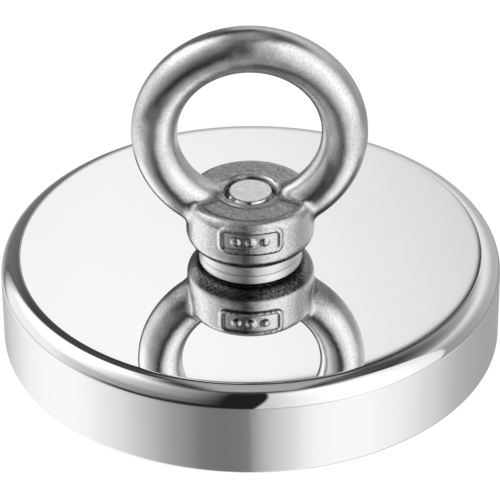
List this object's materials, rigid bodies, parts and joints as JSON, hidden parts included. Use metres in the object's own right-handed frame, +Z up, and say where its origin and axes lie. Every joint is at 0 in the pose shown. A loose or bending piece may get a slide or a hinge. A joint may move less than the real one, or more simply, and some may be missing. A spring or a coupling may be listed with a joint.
{
  "type": "magnet fishing magnet",
  "caption": "Round steel pot magnet with a ring magnet inside and a screwed-on lifting eye nut for a rope.",
  "frame": {"origin": "centre of the pull face, level with the cup's rim", "axes": "+Z up along the bolt, from the pull face towards the eye; +X along the ring's width when the eye nut is screwed home; -Y is the side seen in the reference view"},
  "size_m": [0.097, 0.097, 0.0668],
  "materials": {
    "nickel_plate": "mirror-bright nickel plate",
    "magnet_plate": "dull satin nickel plate",
    "resin": "black potting resin, slightly glossy",
    "brass_bush": "turned brass",
    "bolt_steel": "plain stainless steel",
    "washer_steel": "brushed stainless steel",
    "cast_stainless": "satin, bead-blasted stainless steel"
  },
  "bodies": {
    "magnet": {"steel_cup": "nickel_plate", "ring_magnet": "magnet_plate", "magnet_bond": "resin", "gap_resin": "resin", "bush_resin": "resin", "centre_bush": "brass_bush", "countersunk_bolt": "bolt_steel"},
    "washer": {"flat_washer": "washer_steel"},
    "eye": {"eye_nut": "cast_stainless"}
  },
  "joints": [
    {"name": "eye_turn", "type": "hinge", "parent": "magnet", "child": "washer", "pos_m": [0, 0, 0.018], "axis": [0, 0, 1], "range_deg": [0, 2520]},
    {"name": "eye_rise", "type": "slide", "parent": "washer", "child": "eye", "axis": [0, 0, 1], "range_m": [0, 0.01051]}
  ],
  "couplings": [
    {"joint": "eye_rise", "follows": "eye_turn", "m_per_rad": 0.00023873}
  ]
}
